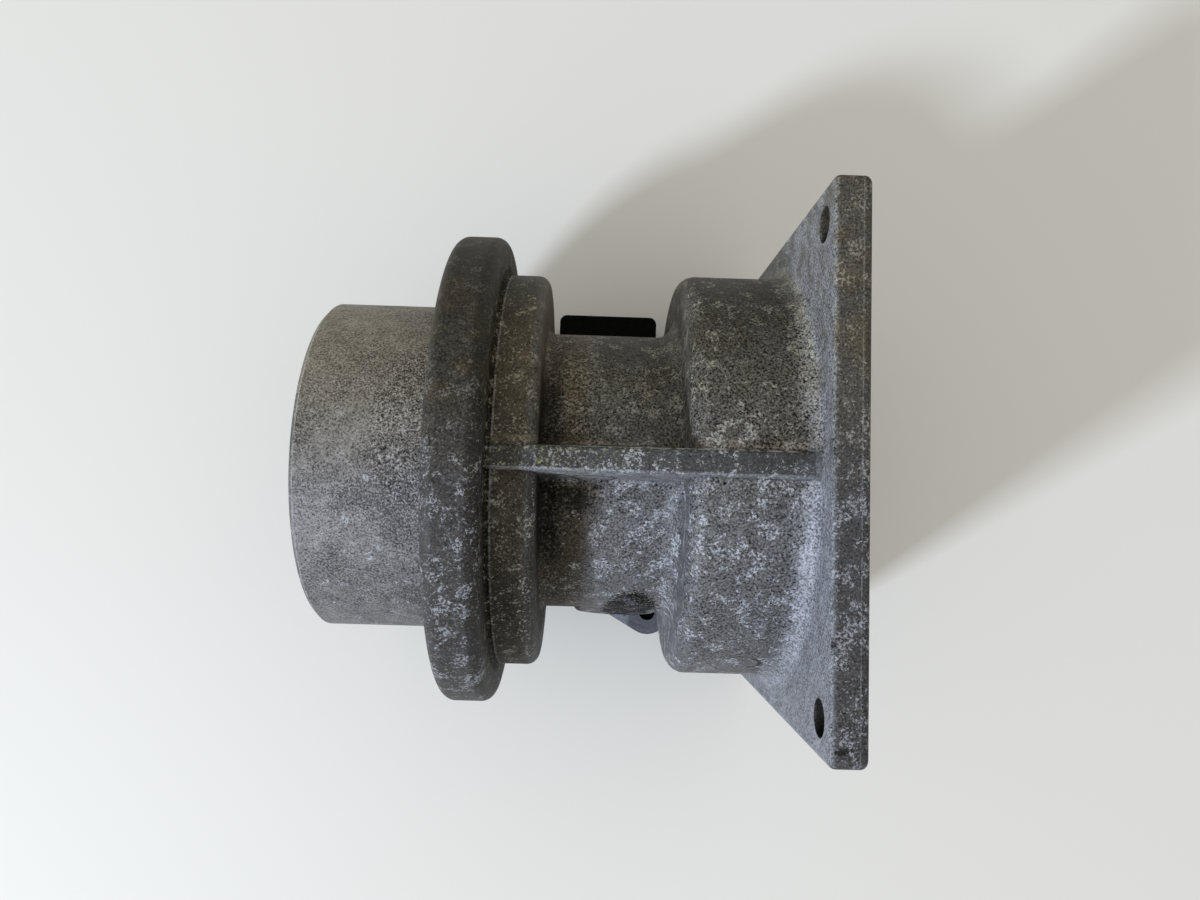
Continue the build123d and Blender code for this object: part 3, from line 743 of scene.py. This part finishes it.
    def edge_wear_and_highlights(self):
        """Thin pale lines along the corners: painted highlights, and wear where handling has rubbed them
        bright.
        """
        graph = self.graph
        rib = graph.times(
            graph.window(self.y, RIB_HALF - 0.25, RIB_HALF, 0.15),
            graph.ramp(self.z, RIB_TOP - 1.2, RIB_TOP - 0.8),
            self.between(NECK_END, FLANGE_BACK - 6.0, 3.0),
        )
        step = graph.times(
            self.between(NECK_END - 0.25, NECK_END - 0.05, 0.2),
            graph.ramp(self.radius, STEP_EDGE_RADIUS, STEP_EDGE_RADIUS + 0.6),
        )
        rim = self.between(SPIGOT_END + 0.75, SPIGOT_END + 0.95, 0.15)
        flange = graph.times(self.between(EDGE_BEVEL - 0.1, EDGE_BEVEL + 0.05, 0.1), self.off_middle)
        ring_foot = graph.times(
            self.between(STEP_END + 0.95, STEP_END + 1.15, 0.15), graph.ramp(self.radius, 43.4, 42.9)
        )
        faint = (graph.times(rim, 0.4), graph.times(flange, 0.3), graph.times(ring_foot, 0.4))
        worn = graph.ramp(graph.noise(self.point, 0.7, 3.0, 0.7), 0.35, 0.6)
        return graph.times(graph.most(rib, step, *faint), worn, self.outside)

    def mould_marks(self):
        """Round pin marks of the mould and two casting pits, as how deep each one is."""
        graph = self.graph
        rib_pin = graph.times(
            graph.window(self.spot(self.x, self.z, *RIB_PIN)["Reach"], 0.90, 1.03, 0.06),
            graph.window(self.y, -3.4, -2.0, 0.3),
            graph.ramp(self.z, RIB_TOP - 0.5, RIB_TOP - 1.5),
            0.7,
        )
        body_pin = graph.window(self.spot(self.x, self.z, *BODY_PIN)["Reach"], 0.96, 1.02, 0.05)
        small_pin = graph.times(
            graph.window(self.spot(self.x, self.z, *SMALL_PIN)["Reach"], 0.90, 1.05, 0.12),
            graph.ramp(self.x, -14.6, -13.6),
        )
        low_side = graph.ramp(self.y, -24.0, -27.0)
        pins = graph.times(graph.most(graph.times(body_pin, 0.5), small_pin), low_side)
        trail = graph.times(
            self.spot(self.x, self.y, *EDGE_PIT_TRAIL)["Mask"], graph.ramp(self.grain["Grit"], 0.46, 0.56)
        )
        pits = [self.spot(self.x, self.y, *place)["Mask"] for place in (EDGE_PIT, EDGE_SPECK)]
        on_edge = graph.times(graph.ramp(self.z, 44.0, 46.0), graph.ramp(self.facing_z, 0.3, 0.5))
        return graph.most(rib_pin, pins, graph.times(graph.most(trail, *pits), on_edge))

    def grain_gain(self):
        """How far the grain brightens or darkens the metal, with each region's own contrast."""
        graph = self.graph
        depth = graph.mix(self.on_ring, graph.mix(self.far, 1.8, 2.5), graph.mix(self.far, 1.2, 1.6))
        depth = graph.mix(self.on_step, depth, 1.2)
        depth = graph.mix(self.on_flange_edge, depth, 1.3)
        depth = graph.mix(self.dirt_and_shade, depth, graph.mix(self.on_step, 3.0, 1.6))
        depth = graph.mix(self.on_rib, depth, 0.9)
        smooth = graph.most(self.on_spigot, graph.times(self.streaked, 0.6))
        depth = graph.mix(smooth, depth, graph.mix(self.etched_and_lit, 0.9, 1.9))
        depth = graph.mix(self.on_ear, depth, 0.5)
        fine = graph.less(graph.ramp_line(self.grain["Grit"], 0.33, 0.67), 0.5)
        return graph.add(graph.times(fine, depth), 1.0, graph.grade(self.grain["Mottle"], -0.16, 0.16))

    def metal_tone(self):
        """The metal's own tone at each stretch, with olive tarnish and painted warm shade on the far side,
        streaks, the spigot's specks, and painted light on its etched top.
        """
        graph = self.graph
        tone = along_bore(graph, self.x, CASTING_TONES)
        # Olive tarnish, heavier on the far side as painted warm shade
        olive = graph.times(
            graph.ramp(graph.noise(self.point, 0.16, 3.0, 0.6), 0.42, 0.66),
            graph.mix(self.far, 0.1, 0.55),
            graph.gain(self.on_step, 0.4),
            graph.gain(self.on_spigot, 0.15),
        )
        tone = graph.blend(olive, tone, OLIVE_TONE)
        tone = graph.shade(tone, graph.gain(self.streaked, graph.grade(self.streaks, 0.8, 1.2)))
        # The hose kept the spigot clean: dark grit on a paler ground, thickest toward the ring
        toward_ring = graph.ramp(self.x, SPIGOT_END + 4.0, RING_END - 2.0, -0.10, 0.08)
        crowd = graph.add(graph.noise(self.point, 0.10, 2.0, 0.6), toward_ring)
        speck = graph.add(graph.noise(self.point, 2.9, 2.0, 0.6), graph.times(crowd, 0.4))
        pepper = graph.times(graph.ramp(speck, 0.68, 0.80), self.on_spigot, 0.8)
        tone = graph.blend(pepper, tone, PEPPER_TONE)
        rim_band = graph.ramp(self.x, SPIGOT_END + 0.8, SPIGOT_END + 0.6)
        tone = graph.blend(graph.times(rim_band, 0.35), tone, PEPPER_TONE)
        # Painted light: the etched patch on the spigot's top is made 5% brighter
        return graph.shade(tone, graph.gain(self.etched_and_lit, 1.05))

    def dirty_and_shaded_tone(self, tone):
        """The metal under its dirt and painted shade, with the ear, the holes and the rib and their painted
        light and shade, and the grain over all of it.
        """
        graph = self.graph
        # The brown of dirt, which in the roots and over the lug also stands for painted shade
        tone = graph.blend(graph.times(self.dirt_and_shade, 0.88), tone, DIRT_AND_SHADE_TONE)
        # The ear's sloping facet is painted lighter than its top, as painted light
        ear_tone = graph.blend(graph.ramp(self.x, EAR_FACET, EAR_FACET - 1.2), EAR_TONE, EAR_FACET_LIT_TONE)
        tone = graph.blend(self.on_ear, tone, ear_tone)
        # Painted shade inside the bolt holes, deepest on the near side
        tone = graph.blend(graph.times(self.in_hole, graph.mix(self.far, 0.75, 0.2)), tone, HOLE_SHADE_TONE)
        tone = graph.blend(graph.times(self.on_rib, 0.6), tone, RIB_TONE)
        # Painted highlight along the rib's far root
        tone = graph.blend(self.rib_root_highlight(), tone, RIB_ROOT_HIGHLIGHT_TONE)
        # Painted highlight: the rib's near flank in the flange root's pale tone
        tone = graph.blend(graph.times(self.rib_flank_highlight(), 0.7), tone, ROOT_TONE)
        edge_strip = graph.times(graph.ramp(self.x, EDGE_BEVEL, EDGE_BEVEL + 0.2), self.off_middle)
        tone = graph.shade(tone, graph.gain(edge_strip, 0.82))
        tone = graph.shade(tone, graph.times(self.grain_gain(), self.blackness_and_shade))
        return graph.blend(graph.times(self.grain["Pits"], 0.7), tone, PIT_TONE)

    def far_shaded_tone(self, tone):
        """The tone with painted light and shade on the side away from the window, and more painted shade
        where it faces that way.
        """
        graph = self.graph
        far_shade = graph.times(amount_along_bore(graph, self.x, FAR_SHADE_SHARES), SHARE_SCALE)
        tone = graph.shade(tone, graph.gain(graph.times(self.far, self.outside), far_shade))
        facing_far_shade = graph.times(graph.ramp(self.facing_y, 0.35, 0.95), self.outside)
        facing_far_shade = graph.times(facing_far_shade, graph.off(self.on_spigot))
        return graph.shade(tone, graph.gain(facing_far_shade, FAR_FACING_SHADE))

    def bloom_tone(self):
        """The bloom's own tone, which dust yellows, with painted warm shade on the far side."""
        graph = self.graph
        dusty = graph.times(graph.most(self.dirt_and_shade, graph.times(self.on_step, 0.7)), graph.off(self.over_lug))
        far_warm_shade = graph.times(self.far, graph.off(self.on_flange_face), 0.4)
        tone = graph.blend(graph.most(dusty, far_warm_shade), BLOOM_TONE, DUSTY_BLOOM_TONE)
        return graph.shade(tone, graph.gain(self.far, graph.mix(self.dirt_and_shade, 0.8, 0.95)))

    def lit_and_shaded_tone(self, tone):
        """The tone with painted shade where it faces the near side, and painted light tints: a lean to blue
        on the near side and to brown on the far side.
        """
        graph = self.graph
        facing_near_shade = graph.times(graph.ramp(self.facing_y, -0.2, -0.95), self.outside)
        tone = graph.shade(tone, graph.gain(facing_near_shade, NEAR_FACING_SHADE))
        warm_shade = graph.times(self.far, graph.off(self.on_flange_face, 0.6))
        cool_lit_tone = graph.vector("MULTIPLY", tone, LIT_COOL_TINT)
        return graph.blend(warm_shade, cool_lit_tone, graph.vector("MULTIPLY", tone, SHADE_WARM_TINT))


def make_cast_aluminium():
    """Weathered casting: a tone for each stretch of the body, with oxide bloom, dirt in the roots, and
    painted light and shade.
    """
    material, graph, shader = new_material("cast_aluminium")
    cast = Casting(graph)
    # The bore and the flange's mounting face were machined and stay cleaner
    mounting_face = graph.times(graph.ramp(cast.facing_x, 0.9, 0.98), graph.ramp(cast.x, -0.4, -0.1))
    machined = graph.most(cast.inside, mounting_face)
    turned = graph.shade(TURNED_TONE, graph.grade(cast.streaks, 0.7, 1.15))
    bloom = graph.times(cast.bloom(), graph.gain(mounting_face, 0.4))
    lichen = cast.lichen()
    marks = cast.mould_marks()

    tone = cast.far_shaded_tone(cast.dirty_and_shaded_tone(cast.metal_tone()))
    for cover, cover_tone in (
        (graph.times(machined, 0.75), turned),
        (bloom, cast.bloom_tone()),
        (lichen, LICHEN_TONE),
        # Painted highlights and wear along the edges
        (graph.times(cast.edge_wear_and_highlights(), 0.6), BLOOM_TONE),
        (graph.times(marks, 0.85), PIT_TONE),
    ):
        tone = graph.blend(cover, tone, cover_tone)
    graph.put(shader["Base Color"], cast.lit_and_shaded_tone(tone))

    covered = graph.most(bloom, cast.dirt_and_shade, lichen)
    metal = graph.times(graph.off(covered), graph.mix(machined, BARE_METAL, MACHINED_METAL))
    darkened = graph.math("MULTIPLY", graph.less(1.1, cast.blackness_and_shade), cast.dirt_and_shade, clamp=True)
    graph.put(shader["Metallic"], graph.mix(darkened, metal, DARKENED_METAL))
    rough = graph.grade(cast.grain["Grit"], *GRIT_ROUGHNESS)
    rough = graph.add(rough, graph.times(covered, COVERED_ROUGHNESS))
    graph.put(shader["Roughness"], graph.less(rough, graph.times(machined, MACHINED_SMOOTHNESS)))
    shader["Specular IOR Level"].default_value = CAST_GLOSS
    height = graph.add(cast.grain["Height"], graph.times(bloom, BLOOM_RELIEF))
    height = graph.less(height, graph.times(marks, MARK_RELIEF))
    set_bump(graph, shader, graph.times(height, graph.gain(machined, 0.2)), CAST_RELIEF)
    return material


# ---------------------------------------------------------------- the other finishes

DUST_TONE = colour(120, 116, 106)
STAIN_TONE = colour(196, 192, 178)
TIP_SHADE_TONE = colour(6, 6, 6)
BOARD_TONE = colour(24, 74, 46)
TRACK_TONE = colour(60, 116, 66)
GLAZE_TONE = colour(214, 210, 200)
TRACK_PITCH = 1.6
# How fast a track starts and stops along its run, per millimetre
TRACK_CHANGE = 0.12
WINDING_PITCH = 0.3
SCREW_TIP_Z = -34.0


def start_finish(name, rough, metallic):
    """A material with its roughness and metal level set, and where each point of the surface lies."""
    material, graph, shader = new_material(name)
    shader["Roughness"].default_value = rough
    shader["Metallic"].default_value = metallic
    return material, graph, shader, graph.use(PLACE, {})


def make_moulded(name, tint, rough, skin_size, skin_height, dust, sheen=0.5):
    """Moulded plastic: a fine eroded skin, a slight cloudiness, and dust that lies on what faces up."""
    material, graph, shader, place = start_finish(name, rough, 0.0)
    shader["Specular IOR Level"].default_value = sheen
    skin = graph.use(MOULDED_SKIN, {"Point": place["Point"], "Grain Size": skin_size})
    tone = graph.shade(tint, graph.grade(skin["Cloud"], 0.8, 1.25))
    settled = graph.use(SETTLED_DUST, {"Point": place["Point"], "Amount": dust})
    graph.put(shader["Base Color"], graph.blend(settled["Mask"], tone, DUST_TONE))
    graph.put(shader["Roughness"], graph.grade(skin["Cloud"], rough - 0.06, rough + 0.1))
    set_bump(graph, shader, skin["Height"], skin_height)
    return material


def make_drawn_metal(
    name, tint, rough, along, line_size=0.12, metallic=0.9, stain=None, cover=0.0, shade_z=None
):
    """Sheet, strip or wire with fine lines along it, a stain in patches, and painted shade above a level."""
    material, graph, shader, place = start_finish(name, rough, metallic)
    stretched = {"Point": place["Point"], "Stretch": along, "Line Size": line_size}
    lines = graph.use(DRAWN_LINES, stretched)["Lines"]
    tone = graph.shade(tint, graph.grade(lines, 0.75, 1.2))
    if stain:
        places = {"Point": place["Point"], "Patch Size": 2.5, "Thread Size": 0.6, "Cover": cover}
        tone = graph.blend(graph.times(graph.use(OXIDE_BLOOM, places)["Mask"], 0.8), tone, stain)
    wear = graph.grade(lines, rough - 0.07, rough + 0.1)
    if shade_z is not None:
        # The screw's tip, seen in the ear's hole, is painted black as shade
        tip_shade = graph.ramp(place["Z"], shade_z - 0.5, shade_z)
        tone = graph.blend(tip_shade, tone, TIP_SHADE_TONE)
        wear = graph.mix(tip_shade, wear, 1.0)
    graph.put(shader["Base Color"], tone)
    graph.put(shader["Roughness"], wear)
    set_bump(graph, shader, lines, 0.012)
    return material


def make_soft_rubber(name, tint, rough, lump_size, lump_height):
    """Cured or moulded rubber with slow lumps and a faint bloom."""
    material, graph, shader, place = start_finish(name, rough, 0.0)
    lump = graph.noise(place["Point"], 1.0 / lump_size)
    fine = graph.noise(place["Point"], 6.0)
    graph.put(shader["Base Color"], graph.shade(tint, graph.grade(fine, 0.8, 1.3)))
    set_bump(graph, shader, graph.add(lump, graph.times(fine, 0.1)), lump_height)
    return material


def make_board():
    """Green coating over copper tracks that run both ways."""
    material, graph, shader, place = start_finish("board", 0.35, 0.0)
    tracks = []
    for along, across in (("X", "Y"), ("Y", "X")):
        steps = graph.ratio(place[across], TRACK_PITCH)
        off_middle = graph.absolute(graph.less(graph.math("FRACT", steps), 0.5))
        spot = graph.join(graph.times(place[along], TRACK_CHANGE), graph.math("FLOOR", steps))
        kept = graph.ramp(graph.noise(spot, 1.0, 0.0), 0.5, 0.52)
        tracks.append(graph.times(graph.ramp(off_middle, 0.2, 0.16), kept))
    track = graph.most(*tracks)
    graph.put(shader["Base Color"], graph.blend(track, BOARD_TONE, TRACK_TONE))
    set_bump(graph, shader, track, 0.035)
    return material


def make_wound_glaze():
    """Pale glaze over a fine winding round the element."""
    material, graph, shader, place = start_finish("element_glaze", 0.22, 0.0)
    ripple = graph.math("SINE", graph.times(place["Z"], 2 * math.pi / WINDING_PITCH))
    graph.put(shader["Base Color"], graph.shade(GLAZE_TONE, graph.ramp(ripple, -1.0, 1.0, 0.82, 1.0)))
    set_bump(graph, shader, ripple, 0.015)
    return material


# Tint, roughness, how much longer the lines are along x, y and z, their size, metal level, stain, its cover
# and the level that the painted shade starts at
DRAWN_METALS = {
    "screen_wire": (colour(168, 166, 162), 0.38, (1, 1, 1), 0.3, 0.9, DUST_TONE, 0.2),
    "rim_steel": (colour(158, 157, 154), 0.42, (1, 6, 6), 0.15, 0.9, DUST_TONE, 0.3),
    "spring_steel": (colour(92, 92, 94), 0.36, (1, 8, 8)),
    "plated_steel": (colour(176, 168, 142), 0.42, (1, 1, 3), 0.2, 0.85, STAIN_TONE, 0.45, SCREW_TIP_Z),
    "sheet_aluminium": (colour(200, 201, 202), 0.36, (1, 10, 1), 0.15),
    "post_metal": (colour(204, 200, 188), 0.3, (1, 1, 8), 0.1),
    "terminal_metal": (colour(206, 196, 166), 0.33, (1, 8, 1)),
}
# Tint, roughness, size and height of the skin, dust and sheen
MOULDED_PLASTICS = {
    "black_plastic": (colour(2, 2, 2), 0.55, 0.25, 0.02, 0.02, 0.06),
    "cover_plastic": (colour(12, 12, 12), 0.45, 0.3, 0.025, 0.1, 0.3),
    "probe_plastic": (colour(22, 22, 22), 0.4, 0.2, 0.01, 0.25),
    "component_plastic": (colour(26, 26, 28), 0.6, 0.15, 0.01, 0.0),
    "capacitor_ceramic": (colour(176, 142, 100), 0.5, 0.2, 0.005, 0.0),
}
# Tint, roughness, size and height of the lumps
RUBBERS = {
    "sealant": (colour(36, 36, 36), 0.3, 2.2, 0.12),
    "seal_rubber": (colour(20, 20, 20), 0.6, 1.2, 0.01),
}


def make_finishes():
    """Every finish, by the name of its slot in the record."""
    made = {
        "cast_aluminium": make_cast_aluminium(),
        "board": make_board(),
        "element_glaze": make_wound_glaze(),
    }
    kinds = ((DRAWN_METALS, make_drawn_metal), (MOULDED_PLASTICS, make_moulded), (RUBBERS, make_soft_rubber))
    for table, make in kinds:
        made.update((name, make(name, *values)) for name, values in table.items())
    return made


def dress_nodes():
    """Gives each node the finish that the record names for it."""
    for part in frame["record"]["subparts"]:
        for place in nodes[part["node"]].material_slots:
            place.material = FINISHES[part["material_slot"]]


# ---------------------------------------------------------------- the woven screen

WIRE_PITCH = 3.25
WIRE_THICKNESS = 0.34
WIRE_SIDES = 8
STEPS_A_MESH = 6


def add_wire(shell, row, reach, middle_x, runs_up):
    """One wire of the weave, which passes over and under the wires that cross it."""
    steps = 2 * int(reach / WIRE_PITCH * STEPS_A_MESH)
    hand = 1 if (row + runs_up) % 2 else -1
    offset = row * WIRE_PITCH
    rings = []
    for step in range(steps + 1):
        along = -reach + 2 * reach * step / steps
        sway = hand * WIRE_THICKNESS / 2 * math.cos(math.pi * along / WIRE_PITCH)
        ring = []
        for side in range(WIRE_SIDES):
            angle = 2 * math.pi * side / WIRE_SIDES
            x = middle_x + sway + math.cos(angle) * WIRE_THICKNESS / 2
            across = offset + math.sin(angle) * WIRE_THICKNESS / 2
            spot = (x, across, along) if runs_up else (x, along, across)
            ring.append(shell.verts.new(Vector(spot) * MM))
        rings.append(ring)
    for before, after in zip(rings, rings[1:]):
        for side in range(WIRE_SIDES):
            beside = (side + 1) % WIRE_SIDES
            shell.faces.new((before[side], before[beside], after[beside], after[side]))
    shell.faces.new(reversed(rings[0]))
    shell.faces.new(rings[-1])


def make_woven_screen():
    """The inlet screen as wires that cross both ways, in the space of the grille that it replaces."""
    low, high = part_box("inlet_screen")
    middle_x = (low.x + high.x) / 2 / MM
    radius = high.y / MM - WIRE_THICKNESS
    shell = bmesh.new()
    rows = int(radius / WIRE_PITCH)
    for row in range(-rows, rows + 1):
        reach = math.sqrt(radius**2 - (row * WIRE_PITCH) ** 2)
        for runs_up in (False, True):
            add_wire(shell, row, reach, middle_x, runs_up)
    bmesh.ops.recalc_face_normals(shell, faces=shell.faces)
    screen = make_object("woven_screen", shell)
    screen.data.shade_smooth()
    screen.data.materials.append(FINISHES["screen_wire"])
    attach(screen, "root")
    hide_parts("inlet_screen")


def make_object(name, shell):
    """An object in the scene with the shell as its mesh."""
    mesh = bpy.data.meshes.new(name)
    shell.to_mesh(mesh)
    shell.free()
    return add_to_scene(name, mesh)


def add_to_scene(name, data):
    """An object in the scene that holds the mesh, light or camera."""
    made = bpy.data.objects.new(name, data)
    bpy.context.scene.collection.objects.link(made)
    return made


# ---------------------------------------------------------------- stage, light and camera

FLOOR_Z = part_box("housing")[0].z
FLOOR_HALF = 3.0
FLOOR_TONE = colour(231, 231, 229)
FLOOR_ROUGHNESS = 0.6


def make_floor():
    """A plain pale table, clear from below, so that the underside can be looked at."""
    shell = bmesh.new()
    bmesh.ops.create_grid(shell, x_segments=1, y_segments=1, size=FLOOR_HALF)
    floor = make_object("table_top", shell)
    floor.location = (0, 0, FLOOR_Z)
    material, graph, shader = new_material("table_paint")
    shader["Base Color"].default_value = FLOOR_TONE
    shader["Roughness"].default_value = FLOOR_ROUGHNESS
    parts = material.node_tree.nodes
    from_below = graph.node("ShaderNodeNewGeometry").outputs["Backfacing"]
    clear = graph.node("ShaderNodeBsdfTransparent").outputs["BSDF"]
    paint = parts["Principled BSDF"].outputs["BSDF"]
    choice = graph.node("ShaderNodeMixShader", {0: from_below, 1: paint, 2: clear})
    graph.put(parts["Material Output"].inputs["Surface"], choice.outputs["Shader"])
    floor.data.materials.append(material)


KEY_DIRECTION = Vector((-0.685, -0.505, 0.525))
KEY_DISTANCE = 1.5
KEY_SIZE = 0.15
KEY_POWER = 17.6
KEY_TINT = (0.79, 0.87, 1.0)
SKY_TINT = (1.0, 0.965, 0.885, 1.0)
SKY_LEVEL = 0.625


def make_light():
    """A cool window from the near left, and a warm room all round."""
    lamp = bpy.data.lights.new("window", "AREA")
    lamp.shape = "SQUARE"
    lamp.size = KEY_SIZE
    lamp.energy = KEY_POWER
    lamp.color = KEY_TINT
    key = add_to_scene("window", lamp)
    middle = (cad_bounds[0] + cad_bounds[1]) / 2
    key.location = middle + KEY_DIRECTION * KEY_DISTANCE
    key.rotation_euler = KEY_DIRECTION.to_track_quat("Z", "Y").to_euler()
    world = bpy.data.worlds.new("room")
    world.use_nodes = True
    sky = world.node_tree.nodes["Background"].inputs
    sky["Color"].default_value = SKY_TINT
    sky["Strength"].default_value = SKY_LEVEL
    bpy.context.scene.world = world


CAMERA_AT = Vector((-47.58, -8.82, 189.98)) * MM
CAMERA_LOOK = Vector((0.01613712, 0.07103296, -0.99734343))
CAMERA_UP = Vector((-0.03074079, 0.99703702, 0.07051375))
CAMERA_LENS = 25.47
CAMERA_SENSOR = 36.0
CAMERA_CLIP = (0.005, 20.0)


def make_camera():
    """The camera above the rib, looking almost straight down."""
    view = bpy.data.cameras.new("camera")
    view.lens = CAMERA_LENS
    view.sensor_width = CAMERA_SENSOR
    view.clip_start, view.clip_end = CAMERA_CLIP
    camera = add_to_scene("camera", view)
    across = CAMERA_LOOK.cross(CAMERA_UP).normalized()
    up = across.cross(CAMERA_LOOK).normalized()
    turn = Matrix((across, up, -CAMERA_LOOK)).transposed()
    camera.matrix_world = Matrix.Translation(CAMERA_AT) @ turn.to_4x4()
    bpy.context.scene.camera = camera


FINISHES = make_finishes()
dress_nodes()
make_woven_screen()
make_floor()
make_light()
make_camera()
bpy.context.scene.view_settings.view_transform = "Standard"
